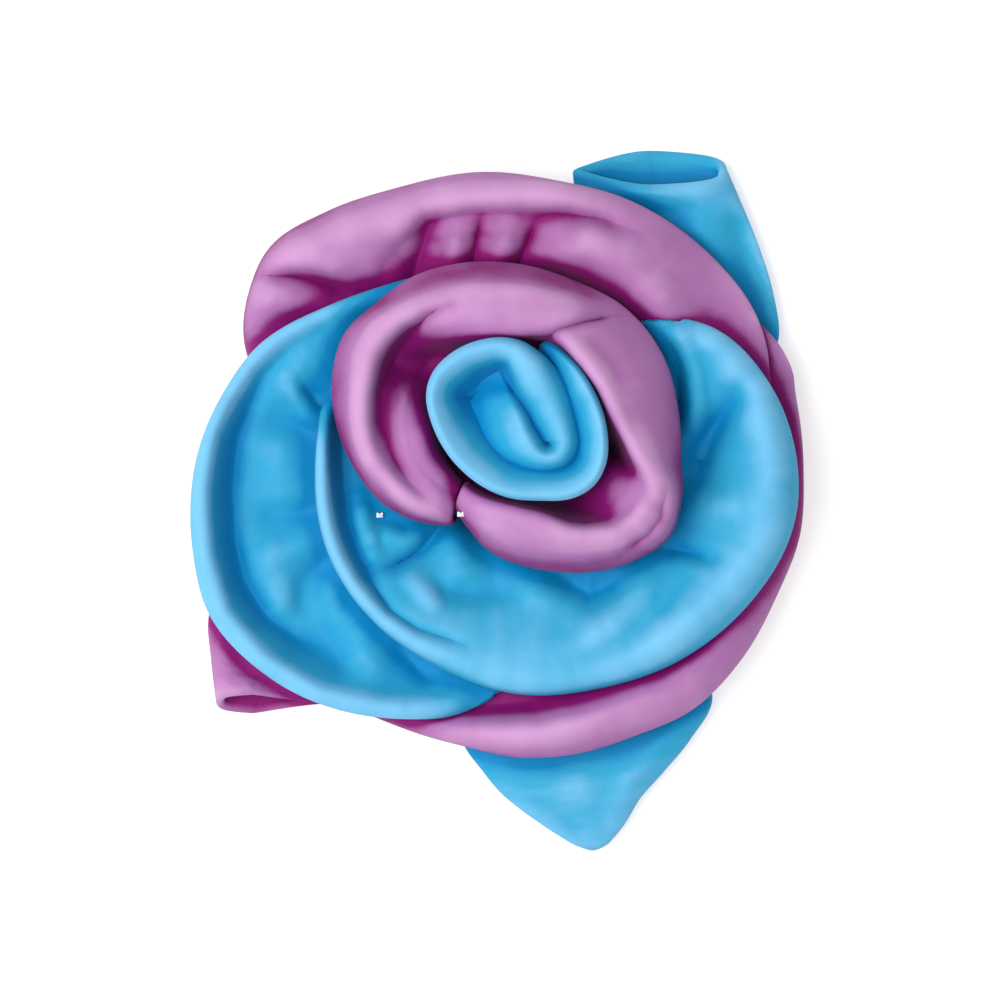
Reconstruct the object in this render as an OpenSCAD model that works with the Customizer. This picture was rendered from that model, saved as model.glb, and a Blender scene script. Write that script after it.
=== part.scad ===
// Rose brooch of folded stretch cloth, lying on its back, sizes in millimetres.
// The flower faces +Z, and +Y runs from the pointed leaf to the open blue leaf.

/* [Cloth] */
// Thickness of every cloth wall
cloth = 1.2; // [1:0.05:1.25]
// Part of that thickness that is left at a cut or rolled border
border_share = 0.6; // [0.4:0.1:1]

/* [Flower] */
// Place of the flower's axis to the right of the brooch's middle
axis_right = 2; // [1:0.5:3]
// Place of the flower's axis forward of the brooch's middle
axis_forward = 9; // [8:0.5:10]
// Height at which the bud and all petals are sewn together
foot_z = 5.1; // [5:0.05:5.3]
// Height of the bud's rim
bud_z = 26.2; // [25:0.2:28]

/* [Pin] */
// Length of the pin's plate
plate_l = 30; // [26:1:32]
// Width of the pin's plate
plate_w = 5; // [4:0.5:6]
// Thickness of the pin's plate
plate_t = 0.8; // [0.6:0.1:0.9]
// Diameter of the pin's needle
needle_d = 0.9; // [0.7:0.1:1]
// Gap between the plate and the flower's foot
plate_gap = 0.5; // [0.4:0.1:0.6]
// Height of the needle's middle line
needle_z = 1.4; // [1:0.1:1.6]

/* [Hidden] */

blue = [0.31, 0.71, 0.92];
pink = [0.78, 0.46, 0.75];
steel = [0.78, 0.79, 0.81];

// How many sections the bud and the leaves are drawn with
bud_steps = 48;
leaf_steps = 7;
// How many points there are between two stations of a section, and round a leaf
points_a_span = 2;
leaf_points = 20;

// The bud's rim, from its outer end inward:
// right and forward of the flower's axis, thickness of the rolled rim
bud_rim = [
    [5.1, 10, 1.7],
    [8.1, 7, 1.8],
    [10.1, 3.5, 1.8],
    [11.1, -0.5, 1.8],
    [11, -3.9, 1.8],
    [9.5, -6.5, 1.8],
    [6.4, -7.8, 1.8],
    [2.1, -7.8, 1.8],
    [-2.6, -6.2, 1.8],
    [-6.2, -3.7, 1.8],
    [-9, -0.5, 1.8],
    [-10.2, 3.1, 1.8],
    [-9.8, 6.2, 1.8],
    [-7.8, 8.8, 1.8],
    [-4.9, 10.3, 1.9],
    [-1.3, 10.5, 2.1],
    [1.6, 8.9, 2.8],
    [3.5, 6.2, 3.9],
    [4.8, 3.1, 3.8],
    [6.1, 0.3, 2.4],
    [6.3, -1.5, 1.8],
    [5.2, -3, 1.8],
    [3.1, -2.9, 2.5],
    [1, -1.1, 3.8],
    [-0.5, 1.1, 4.4],
    [-1.7, 3.5, 4],
    [-2.5, 5.2, 2.6]];

// Height of the bud's foot above the wrap's, which is drawn in below the bud
bud_lift = 1.6;
bud_foot_z = foot_z + bud_lift;
// Thickness of the bud's wall at its foot
bud_foot_wall = 0.8;
// The bud's wall, from foot to rim: share of the rim's spread, share of the height,
// drop below it in rim thicknesses, shares of the foot's wall and of the rim's thickness
bud_wall = [
    [0.36, 0, 0, 1, 0],
    [0.43, 0.38, 0, 1, 0.1],
    [0.62, 0.68, 0, 0.5, 0.4],
    [0.84, 0.87, 0, 0.2, 0.75],
    [0.97, 1, 0.8, 0, 1],
    [1, 1, 0.4, 0, 1],
    [1, 1, 0.1, 0, 0.72],
    [1, 1, 0, 0, 0.32]];

// The wrap, from its start below the bud round to its end:
// turn, inner fold r z, rim r z, face r z, edge r z, hem z
wrap_steps = 40;
wrap_start = [[0.7, foot_z + 0.6], [8.2, foot_z + 0.6], [10, foot_z + 2.6]];
wrap_hem_in = 0.9;
wrap_rows = [
    [-131, 9.3, 15, 9.6, 21.4, 10.7, 21, 12.5, 17, 13.5],
    [-112, 9.3, 15, 9.6, 22.8, 12, 22, 14.4, 17, 13.2],
    [-98, 9.3, 15, 9.7, 23.4, 13, 22.2, 16.1, 16.6, 13],
    [-84, 9.6, 15, 10.3, 23.8, 14.2, 22.1, 17.5, 16.4, 12.9],
    [-71, 10.3, 14, 11.3, 23.6, 15.6, 21.9, 19.1, 16.2, 12.8],
    [-58, 11.4, 12.5, 14.6, 22.9, 17.8, 21.5, 21.1, 15.8, 12.8],
    [-46, 12.4, 11.6, 17.8, 22.2, 20.3, 21.2, 22.9, 15.8, 12.8],
    [-34, 13.2, 11.4, 19.9, 22, 22, 21.4, 24.3, 16, 12.8],
    [-22, 13.2, 12, 19.6, 22.6, 21.5, 21.6, 23.4, 16.2, 12.8],
    [-9, 12.8, 14, 15.9, 23.6, 18.9, 21.5, 21.9, 16.2, 12.8],
    [8, 12.3, 15.6, 13.5, 24.2, 17.7, 21.5, 21.4, 16.2, 12.8],
    [28, 12.2, 16, 12.8, 24.4, 17.3, 21.3, 21.6, 16.2, 12.8],
    [48, 12.2, 16, 13, 24, 17.3, 21.2, 21.5, 16.2, 12.8],
    [68, 12.3, 16, 13.9, 23.4, 17.4, 21.7, 21.1, 16.2, 12.8],
    [90, 12.3, 16, 12.9, 24, 17.5, 22.2, 21.9, 16.2, 12.8],
    [108, 12.3, 15, 13.4, 23.4, 18.4, 22, 23, 16, 12.8],
    [123, 12.5, 13, 15.2, 21.6, 19.6, 21.8, 23.9, 16, 12.8],
    [137, 12.7, 11.4, 17.3, 18.6, 21.2, 21.6, 24.4, 16, 12.8],
    [150, 12.7, 11.4, 17.6, 16.4, 21.5, 21.8, 25.3, 16, 12.8],
    [163, 12.8, 14.5, 17.4, 15.6, 20.6, 22, 24.5, 16, 12.8],
    [178, 12.9, 18.6, 17, 15.8, 19.6, 22, 22.9, 16, 12.8],
    [194, 12.6, 18.8, 16.2, 16, 18.4, 21.8, 21, 16, 12.8],
    [208, 12.2, 18.8, 15, 16.6, 17.1, 21.2, 19.4, 15.8, 12.9],
    [219, 11.6, 18.8, 14, 17.6, 15.6, 20.4, 17.6, 15.6, 13],
    [227, 11, 18.2, 12.7, 18.4, 13.6, 18.8, 15, 15.4, 13.2]];
// The wrap's pleats: turn, lift, half width, station, reach, lean
wrap_folds = [
    [62, -1.6, 5, 2.5, 0.7, -16],
    [96, 0.6, 14, 3, 0.8, 0],
    [118, -0.7, 7, 2.8, 0.6, 10],
    [-40, -0.9, 6, 2.6, 0.6, 6],
    [-75, 0.5, 12, 3, 0.7, 0],
    [20, 0.5, 14, 3, 0.8, 0]];

// Each petal, section by section round the flower's axis:
// turn, dip r z, crest r z, edge r z, hem z
blue_right_steps = 36;
blue_right_start = [[12, foot_z], [15.4, 9.9]];
blue_right_hem_in = 1.5;
blue_right_rows = [
    [41, 18, 10.7, 20.4, 11.2, 22.2, 11.2, 10.4],
    [27, 22.6, 11, 27, 14, 29.3, 12.9, 10.9],
    [10, 24.6, 11.2, 30.8, 14.8, 33.9, 12.6, 10.2],
    [-8, 25.6, 11.2, 33.4, 15.6, 37.2, 12.6, 10.2],
    [-21, 26, 11.1, 34.4, 15.8, 38.3, 12.6, 10.2],
    [-37, 26, 11, 33.6, 15.8, 37.7, 12.4, 10.1],
    [-54, 25.5, 10.9, 32.4, 15.6, 36.6, 12.2, 10],
    [-71, 25, 10.9, 31.3, 15.2, 35.1, 12.2, 10],
    [-89, 24.5, 11, 30.8, 15, 34, 12.4, 10.3],
    [-107, 24, 11.1, 29.5, 15, 32.1, 12.8, 10.8],
    [-125, 24.5, 11.2, 28.9, 15.4, 30.7, 13.4, 11],
    [-145, 24, 11.2, 27.5, 16, 28.9, 14, 11.4],
    [-166, 22.3, 11, 25.3, 16.4, 26.5, 14.6, 13.2],
    [-178, 22.2, 10.8, 24.6, 15.6, 25.5, 14.4, 13.6],
    [-187, 22, 10.7, 24.2, 13.4, 25, 12.6, 12.2],
    [-196, 20.8, 10.6, 22.6, 10.9, 24.1, 10.8, 10.4]];
// Each petal's gathers and puffs: turn, lift, half width, station, reach, lean
blue_right_folds = [
    [14, 1.2, 7, 2.2, 0.7, 4],
    [0, -1.5, 5, 2.4, 0.7, 3],
    [-14, 1.2, 9, 2.7, 0.7, 0],
    [-37, -1.6, 6, 2.4, 0.8, 0],
    [-56, 1.3, 5, 2.4, 0.7, -4],
    [-68, -1.1, 5, 1.8, 0.6, 0],
    [-80, 0.9, 12, 2.6, 0.8, 0],
    [-106, -0.8, 6, 1.9, 0.6, 0],
    [-115, 1.3, 8, 1.5, 0.5, 0],
    [-133, -1, 6, 1.7, 0.6, 8]];

blue_left_steps = 28;
blue_left_start = [[13.8, foot_z], [17.2, 8.5]];
blue_left_hem_in = 1.5;
blue_left_rows = [
    [119, 19.8, 9.3, 21.9, 10, 23.4, 10.2, 9.6],
    [133, 21.4, 9.3, 24, 11.6, 25.7, 11.2, 9.4],
    [147, 23.2, 9.2, 27.4, 12.8, 29.4, 11.4, 9.4],
    [161, 27, 8.9, 32.6, 13.4, 34.7, 11.2, 9.2],
    [172, 30, 8.3, 35.8, 13.6, 37.8, 11, 8.8],
    [186, 33, 7.4, 39.3, 13.6, 41.4, 10.8, 8.4],
    [201, 35, 7, 42.1, 13.4, 44.3, 10.6, 8.2],
    [212, 35.6, 7, 43.5, 13.2, 45.8, 10.6, 8.2],
    [225, 35.2, 7, 42.5, 13, 44.7, 10.6, 8.2],
    [236, 34.4, 7.4, 40.7, 12.8, 42.8, 10.4, 8.2],
    [248, 33, 7.9, 38.1, 12.2, 40, 10.2, 8.2],
    [256, 31.5, 8.1, 36.4, 11, 38.2, 9.6, 8],
    [262, 29.5, 8.2, 34, 9.4, 36, 8.8, 7.9],
    [268, 26.5, 8.3, 30.5, 8.6, 33, 8.3, 7.8]];
blue_left_folds = [
    [167, 1.4, 7, 2.3, 0.5, 0],
    [177, -0.5, 5, 2.4, 0.6, 0],
    [188, 1.4, 6, 2.2, 0.6, 4],
    [199, -0.6, 4, 2, 0.6, 3],
    [214, 1.2, 9, 2.4, 0.6, 4],
    [237, 1.3, 6, 2, 0.5, 0],
    [247, -0.3, 4, 2, 0.5, 0]];

pink_top_steps = 44;
pink_top_start = [[15.4, foot_z], [18.8, 7.1]];
pink_top_hem_in = 1.6;
pink_top_rows = [
    [-8, 25, 7.9, 32.3, 8.5, 34.8, 8.3, 7.9],
    [7, 25, 7.9, 32.8, 8.6, 35.5, 8.4, 7.8],
    [25, 26.6, 8.2, 32, 10.6, 34.7, 9.2, 7.6],
    [40, 24.4, 8.8, 31.2, 12.6, 34.3, 9.9, 7.5],
    [61, 25, 9.4, 30.9, 13.8, 33.8, 10.6, 7.8],
    [80, 24.6, 9.6, 30.5, 13.8, 33.2, 10.6, 7.6],
    [97, 24, 9.4, 30.1, 13.6, 34.1, 9.6, 6.6],
    [115, 23.6, 8, 30.8, 12.6, 35.2, 8, 4.6],
    [130, 25, 7.4, 33.6, 11, 37.7, 5.8, 2.6],
    [142, 28, 7.3, 36.6, 9.6, 40, 4.2, 0.8],
    [152, 29.6, 7.1, 36.8, 8.6, 39.2, 3.9, 0.8],
    [162, 28.5, 6.8, 34.4, 6.9, 36.9, 3.8, 1.3],
    [172, 26, 6.6, 30, 6.4, 32, 5, 4]];
pink_top_folds = [
    [118, -1.1, 4, 2.2, 0.7, 3],
    [110, 1.3, 4, 2.2, 0.7, 2],
    [102, -1.3, 3.5, 2.2, 0.7, 1],
    [95, 1.3, 4, 2.2, 0.7, 0],
    [87, -1.4, 4, 2.2, 0.7, 0],
    [72, 1.6, 10, 2.4, 0.8, -4],
    [48, -1, 9, 2.2, 0.8, -5],
    [140, 0.8, 8, 2.4, 0.5, 4],
    [151, -0.7, 5, 2.6, 0.5, 4]];

pink_bottom_steps = 28;
pink_bottom_start = [[17.9, foot_z], [21.2, 5.75]];
pink_bottom_hem_in = 1.5;
pink_bottom_rows = [
    [29, 25, 6, 30, 6, 33.4, 6, 5.9],
    [17, 28, 6, 33.8, 6.1, 36.5, 6, 5.9],
    [5, 30, 6, 34.9, 6.2, 37.2, 5.8, 4.6],
    [-8, 31.4, 5.9, 36, 6.8, 38.2, 5.5, 3.6],
    [-20, 32.6, 5.9, 36.9, 7.7, 39.7, 5.6, 3.4],
    [-32, 33.4, 5.9, 37.4, 8.6, 40.4, 6, 3.6],
    [-45, 33.6, 5.9, 38.4, 10, 41.9, 7, 4.2],
    [-57, 33, 5.9, 38.5, 11.2, 42.9, 7.8, 5.6],
    [-68, 31.4, 5.9, 38.2, 11.8, 42.5, 8.4, 6],
    [-79, 32, 5.9, 38.7, 12, 42.6, 8.6, 6],
    [-89, 32.8, 5.9, 39, 11.4, 42.3, 8.4, 6],
    [-99, 34, 5.9, 39.2, 9.8, 41.4, 7.8, 5.9],
    [-109, 35, 5.7, 39.4, 8, 41.2, 6.6, 5.2],
    [-119, 34, 5.4, 38.8, 5.8, 41.3, 5, 4.4]];
pink_bottom_folds = [
    [-52, 0.5, 12, 3, 0.5, 0],
    [-74, -0.5, 6, 3, 0.6, 5],
    [-86, 0.5, 6, 3, 0.5, 0]];

// Each leaf, from its closed end to its open end, and the way that its open end faces:
// middle right and forward of the brooch's middle, half width, height, lead of the lower lip
leaf_top_faces = 1;
leaf_top_rows = [
    [29, 17.5, 5.6, 3.8, 0],
    [28.8, 21.5, 7.9, 4.6, 0],
    [26, 27.5, 9.9, 5, 0],
    [23.4, 33, 10.8, 5.4, 0],
    [21.3, 38, 10.9, 6.2, 1.4],
    [19.8, 42.9, 10.1, 6.8, 5.6]];
leaf_left_faces = -1;
leaf_left_rows = [
    [-25.5, -3, 5, 4.4, 0],
    [-28, -9, 8, 5.9, 0],
    [-29.6, -15, 8.3, 6.1, 0],
    [-29.6, -21, 8, 5.8, 0.4],
    [-29.3, -26.6, 7.7, 5, 2.6]];
leaf_bottom_faces = 1;
leaf_bottom_rows = [
    [12.3, -45.7, 1.3, 2.6, 0],
    [11.1, -42.4, 5.3, 3.4, 0],
    [9.8, -38.8, 8.8, 4.2, 0],
    [9.8, -35.4, 11.8, 4.7, 0],
    [10.2, -31, 15, 4.9, 0],
    [12, -25.5, 16, 4.9, 0],
    [12, -18, 13, 4.6, 0]];
// How square a leaf's cross section is, where 1 is an ellipse
leaf_squareness = 0.62;
// Where the hollow of a leaf begins, as a share of its length
leaf_hollow_from = 0.07;

// Curve through b and c with neighbours a and d, at the share t from b to c
function curve(a, b, c, d, t) =
    b + t * (c - a) / 2
    + t * t * (2 * a - 5 * b + 4 * c - d) / 2
    + t * t * t * (3 * (b - c) + d - a) / 2;

// Row of a table at the share s of its length, on a smooth curve through its rows
function row_at(rows, s) =
    let (last = len(rows) - 1, i = min(floor(s * last), last - 1))
    curve(rows[max(i - 1, 0)], rows[i], rows[i + 1], rows[min(i + 2, last)], s * last - i);

function steps(count) = [for (i = [0 : count - 1]) i / (count - 1)];

function unit(v) = v / norm(v);

function sum(values) = values * [for (value = values) 1];

// Height that a table of folds adds at a turn and a station of a section
function lift_at(folds, turn, station) = sum([
    for (fold = folds)
        let (aside = (turn - fold[0] - fold[5] * (station - fold[3])) / fold[2],
             along = (station - fold[3]) / fold[4])
        fold[1] * exp(-aside * aside - along * along)]);

// Point at a turn about the flower's axis, at the distance and height in place
function about_axis(turn, place, lift) =
    [axis_right + place[0] * cos(turn), axis_forward + place[0] * sin(turn), place[1] + lift];

// Share of its turn-in that a hem has where it falls by drop: all of it where it falls clear of
// the cloth above it, and a little outward where the strip lies flat
function tuck(drop) = min(1, max(-0.3, 1.5 * drop / cloth - 1));

// Middle surface of a strip round the axis: its start, the stations of each row, and its hem.
// A row's edge is the cloth's outer face, so its middle lies half a wall further in.
function strip_grid(rows, folds, start, hem_in, sections) = [
    for (s = steps(sections))
        let (row = row_at(rows, s),
             pairs = len(row) / 2 - 1,
             edge = [row[2 * pairs - 1] - cloth / 2, row[2 * pairs]],
             hem_z = row[2 * pairs + 1],
             hem = [edge[0] - hem_in * tuck(edge[1] - hem_z), hem_z],
             inner = [for (k = [1 : pairs - 1]) [row[2 * k - 1], row[2 * k]]],
             stations = concat(start, inner, [edge, hem]),
             spans = len(stations) - 1)
        [for (v = steps(spans * points_a_span + 1))
            about_axis(row[0], row_at(stations, v), lift_at(folds, row[0], v * spans))]];

// Middle surface of the bud's wall, from the outer end of the strip to its core
function bud_grid() = [
    for (s = steps(bud_steps))
        let (rim = row_at(bud_rim, s))
        [for (level = bud_wall)
            [axis_right + rim[0] * level[0], axis_forward + rim[1] * level[0],
                bud_foot_z + (bud_z - bud_foot_z) * level[1] - rim[2] * level[2]]]];

// Thickness of the bud's wall at each level of each section
function bud_walls() = [
    for (s = steps(bud_steps))
        let (rim = row_at(bud_rim, s))
        [for (level = bud_wall) bud_foot_wall * level[3] + rim[2] * level[4]]];

// Wall thickness at each point of a grid, thinner at the foot and the hem
function even_walls(grid) =
    let (last = len(grid[0]) - 1)
    [for (section = grid)
        [for (j = [0 : last]) cloth * (j == 0 || j == last ? border_share : 1)]];

// Direction square to a grid's surface at row i, column j
function normal_at(grid, i, j) =
    let (last_i = len(grid) - 1, last_j = len(grid[0]) - 1,
         along = grid[min(i + 1, last_i)][j] - grid[max(i - 1, 0)][j],
         up = grid[i][min(j + 1, last_j)] - grid[i][max(j - 1, 0)])
    unit(cross(along, up));

// Closed rings round a wall: its front from foot to hem, then its back from hem to foot
function wall_rings(grid, walls) = [
    for (i = [0 : len(grid) - 1])
        let (last = len(grid[0]) - 1,
             halves = [for (j = [0 : last]) normal_at(grid, i, j) * walls[i][j] / 2])
        concat([for (j = [0 : last]) grid[i][j] + halves[j]],
            [for (j = [last : -1 : 0]) grid[i][j] - halves[j]])];

// Share of a leaf's half width or half height that its rounded outline has reached
function rounded(x) = sign(x) * pow(abs(x), leaf_squareness);

// Ring round a leaf where it has the given row, drawn in by inset
function leaf_ring(row, faces, inset) = [
    for (k = [0 : leaf_points - 1])
        let (step = 360 / leaf_points,
             turn = (k + 0.5) * step,
             full = rounded(cos(step / 2)),
             aside = rounded(cos(turn)) / full * (row[2] - inset),
             up = rounded(sin(turn)) / full * (row[3] / 2 - inset))
        [row[0] + faces * aside, row[1] - faces * row[4] * up / row[3], row[3] / 2 + up]];

// Rings along a leaf from the share s0 to the share s1 of its length
function leaf_rings(rows, faces, s0, s1, inset) = [
    for (t = steps(leaf_steps))
        leaf_ring(row_at(rows, s0 + (s1 - s0) * t), faces, inset)];

// Solid inside rings of points, closed at both ends by strips across the ring
module skin(rings) {
    n = len(rings);
    m = len(rings[0]);
    sides = [
        for (i = [0 : n - 2], j = [0 : m - 1])
            let (a = i * m + j, b = i * m + (j + 1) % m)
            each [[a, b, b + m], [a, b + m, a + m]]];
    first_end = [
        for (j = [0 : m / 2 - 2])
            each [[j, m - 1 - j, m - 2 - j], [j, m - 2 - j, j + 1]]];
    last_end = [for (face = first_end) [for (k = [2 : -1 : 0]) face[k] + (n - 1) * m]];
    polyhedron([for (ring = rings) each ring], concat(sides, first_end, last_end));
}

module strip(rows, folds, start, hem_in, sections) {
    grid = strip_grid(rows, folds, start, hem_in, sections);
    skin(wall_rings(grid, even_walls(grid)));
}

module leaf(rows, faces) {
    skin(concat(
        leaf_rings(rows, faces, 0, 1, 0),
        leaf_rings(rows, faces, 1, leaf_hollow_from, cloth)));
}

module bud() {
    color(blue) skin(wall_rings(bud_grid(), bud_walls()));
}

module wrap() {
    color(pink) strip(wrap_rows, wrap_folds, wrap_start, wrap_hem_in, wrap_steps);
}

module petal_blue_right() {
    color(blue) strip(blue_right_rows, blue_right_folds,
        blue_right_start, blue_right_hem_in, blue_right_steps);
}

module petal_blue_left() {
    color(blue) strip(blue_left_rows, blue_left_folds,
        blue_left_start, blue_left_hem_in, blue_left_steps);
}

module petal_pink_top() {
    color(pink) strip(pink_top_rows, pink_top_folds,
        pink_top_start, pink_top_hem_in, pink_top_steps);
}

module petal_pink_bottom() {
    color(pink) strip(pink_bottom_rows, pink_bottom_folds,
        pink_bottom_start, pink_bottom_hem_in, pink_bottom_steps);
}

module leaf_top() {
    color(blue) leaf(leaf_top_rows, leaf_top_faces);
}

module leaf_left() {
    color(pink) leaf(leaf_left_rows, leaf_left_faces);
}

module leaf_bottom() {
    color(blue) leaf(leaf_bottom_rows, leaf_bottom_faces);
}

module pin_back() {
    plate_z = foot_z - plate_gap - plate_t;
    // The post that holds the needle, and the arm and hook that catch its point
    post_inset = 3;
    post_l = 2.4;
    post_w = 3;
    arm_t = 0.8;
    hook_r = 1.1;
    hook_wall = 0.5;
    // How far a cut runs past what it cuts
    past = 1;
    reach = plate_l / 2 - post_inset;
    color(steel) translate([axis_right, axis_forward, 0]) {
        translate([-plate_l / 2 + plate_w / 2, -plate_w / 2, plate_z])
            cube([plate_l - plate_w, plate_w, plate_t]);
        for (side = [-1, 1])
            translate([side * (plate_l - plate_w) / 2, 0, plate_z])
                cylinder(d = plate_w, h = plate_t, $fn = 48);
        translate([-reach - post_l / 2, -post_w / 2, needle_z - needle_d])
            cube([post_l, post_w, plate_z + plate_t / 2 - needle_z + needle_d]);
        translate([-reach, 0, needle_z])
            rotate([0, 90, 0]) cylinder(d = needle_d, h = 2 * reach, $fn = 32);
        translate([reach - post_l / 2, hook_r - arm_t / 2, needle_z])
            cube([post_l, arm_t, plate_z + plate_t / 2 - needle_z]);
        translate([reach - post_l / 2, 0, needle_z])
            rotate([0, 90, 0]) difference() {
                cylinder(r = hook_r, h = post_l, $fn = 32);
                translate([0, 0, -past])
                    cylinder(r = hook_r - hook_wall, h = post_l + 2 * past, $fn = 32);
                translate([-hook_r - past, -hook_r - past, -past])
                    cube([hook_r + past, hook_r + past, post_l + 2 * past]);
            }
    }
}

bud();
wrap();
petal_blue_right();
petal_blue_left();
petal_pink_top();
petal_pink_bottom();
leaf_top();
leaf_left();
leaf_bottom();
pin_back();
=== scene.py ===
"""Looks of a rose brooch of blue and pink stretch cloth, lying face up on a pale table.

Every cloth piece is a closed wall worked out with numpy from a short table in millimetres
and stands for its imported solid. The pin keeps its solid and gets a brushed metal. Columns
and rows are places in the view from straight above.
"""

import bpy
import numpy as np
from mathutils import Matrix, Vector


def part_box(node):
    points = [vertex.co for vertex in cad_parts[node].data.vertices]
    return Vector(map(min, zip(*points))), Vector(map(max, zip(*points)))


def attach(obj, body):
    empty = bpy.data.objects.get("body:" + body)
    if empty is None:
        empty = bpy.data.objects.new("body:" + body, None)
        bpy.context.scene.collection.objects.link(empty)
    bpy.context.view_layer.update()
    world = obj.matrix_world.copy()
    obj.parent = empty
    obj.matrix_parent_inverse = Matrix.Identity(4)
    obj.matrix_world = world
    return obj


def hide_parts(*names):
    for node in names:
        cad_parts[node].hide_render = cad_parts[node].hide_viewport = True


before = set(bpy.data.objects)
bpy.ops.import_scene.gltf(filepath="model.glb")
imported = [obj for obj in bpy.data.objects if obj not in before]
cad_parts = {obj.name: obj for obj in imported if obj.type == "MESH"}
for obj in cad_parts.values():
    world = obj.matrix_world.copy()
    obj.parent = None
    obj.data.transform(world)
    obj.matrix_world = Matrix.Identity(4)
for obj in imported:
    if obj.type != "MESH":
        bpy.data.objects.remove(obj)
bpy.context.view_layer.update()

MM = 0.001

# Millimetres from the frame: the flower's axis, right and forward of the middle, over the
# middle of the pin; the height at which the pieces are sewn together, half a millimetre over
# the pin; and the bud's highest place
pin_low, pin_high = (np.array(corner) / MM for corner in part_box("pin_back"))
AXIS = ((pin_low + pin_high)[:2] / 2).round(1)
FOOT_Z = round(float(pin_high[2]) + 0.5, 1)
BUD_Z = round(float(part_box("bud")[1][2]) / MM, 1)

# Thickness of a cloth wall, gap to the cloth below, and how softly a wall bends up over it
CLOTH = 1.2
GAP = 0.35
BEND = 0.3

# Size of a cell of the height maps, and how far they go on past the cloth
CELL = 0.5
MARGIN = 12

# View from above: column and row of the middle, width in millimetres and in columns
MIDDLE = (498.5, 501.5)
VIEW_WIDTH = 130.0
COLUMNS = 1000
COLUMN = VIEW_WIDTH / COLUMNS


# Shapes

def along(rows, shares):
    """Rows of a table at shares of its length, on a smooth curve through its rows: the cubic
    whose slope at each row is half the step between that row's two neighbours."""
    rows = np.asarray(rows, float)
    last = len(rows) - 1
    place = np.asarray(shares, float) * last
    i = np.minimum(place.astype(int), last - 1)
    t = (place - i).reshape(-1, *[1] * (rows.ndim - 1))
    a, b, c, d = (rows[np.clip(i + k, 0, last)] for k in (-1, 0, 1, 2))
    return (b + t * (c - a) / 2 + t**2 * (2 * a - 5 * b + 4 * c - d) / 2
            + t**3 * (3 * (b - c) + d - a) / 2)


def unit(vectors):
    """Each vector divided by its length."""
    return vectors / np.maximum(np.linalg.norm(vectors, axis=-1, keepdims=True), 1e-9)


def from_edge(count, edge, length):
    """Shares of a length: even steps, with three finer ones inside each of its two edges."""
    e = edge / length
    ends = e * np.array([0, 0.12, 0.4, 0.7])
    return np.concatenate([ends, np.linspace(e, 1 - e, count), 1 - ends[::-1]])


def rounded(share):
    """Share of the full thickness at a share of the way in from a round end: a quarter circle,
    held open a little at its very end."""
    return np.sqrt(np.maximum(1 - (1 - np.clip(share, 0, 1))**2, 0.02))


def plan(column, row):
    """Place right and forward of the middle that is seen at a column and row of the view."""
    return (column - MIDDLE[0]) * COLUMN, (MIDDLE[1] - row) * COLUMN


def near_line(places, half_width, power, way):
    """Share from 0 to 1 that falls off from a line of columns and rows as the exponential of
    minus the distance in half widths to that power, and weakens to three tenths toward both
    ends of a line that is long for its width."""
    spots = np.array(way, float).reshape(-1, 2)
    spots = np.stack(plan(spots[:, 0], spots[:, 1]), axis=1)
    steps = np.diff(spots, axis=0)
    lengths = np.linalg.norm(steps, axis=1)
    nearest = np.full(places.shape[:-1], np.inf)
    run = np.zeros(places.shape[:-1])
    for start, step, length, before in zip(spots, steps, lengths, np.cumsum(lengths) - lengths):
        off = places - start
        t = np.clip(off @ step / length**2, 0, 1)
        away = np.linalg.norm(off - t[..., None] * step, axis=-1)
        run = np.where(away < nearest, before + t * length, run)
        nearest = np.minimum(away, nearest)
    total = lengths.sum()
    fade = np.clip(np.minimum(run, total - run) / (0.25 * total), 0, 1)
    slender = np.clip(total / (8 * half_width), 0, 1)
    fade = 1 - 0.7 * slender * (1 - fade**2 * (3 - 2 * fade))
    return fade * np.exp(-(nearest / half_width)**power)


def press(points, lines, share=1.0):
    """Raises or sinks points by the height of each line, times their nearness to it. A line is
    a height, a half width, a power and the columns and rows that it passes."""
    for height, half_width, power, *way in lines:
        points[..., 2] += share * height * near_line(points[..., :2], half_width, power, way)


def neighbours(heights):
    """A map of heights shifted by each step from a cell to itself and its eight neighbours."""
    return [np.roll(heights, (a, b), (0, 1)) for a in (-1, 0, 1) for b in (-1, 0, 1)]


def height_map(shells):
    """Lowest corner and heights of a map of square cells. A height is that of the highest
    point over the cell, with small gaps closed: the highest of each cell's neighbours, and
    then the lowest of those."""
    points = np.concatenate([shell.reshape(-1, 3) for shell in shells])
    low = points[:, :2].min(0) - MARGIN
    size = ((points[:, :2].max(0) + MARGIN - low) / CELL).astype(int) + 2
    heights = np.zeros(size)
    i = ((points[:, :2] - low) / CELL).astype(int)
    np.maximum.at(heights, (i[:, 0], i[:, 1]), points[:, 2])
    return low, np.min(neighbours(np.max(neighbours(heights), axis=0)), axis=0)


def height_at(ground, places):
    """Height of a map at places, linear between the middles of its cells."""
    low, heights = ground
    at = np.clip((places - low) / CELL - 0.5, 0, np.array(heights.shape) - 2)
    k = np.floor(at).astype(int)
    f, g = np.moveaxis(at - k, -1, 0)
    a, b = k[..., 0], k[..., 1]
    return ((heights[a, b] * (1 - f) + heights[a + 1, b] * f) * (1 - g)
            + (heights[a, b + 1] * (1 - f) + heights[a + 1, b + 1] * f) * g)


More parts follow.
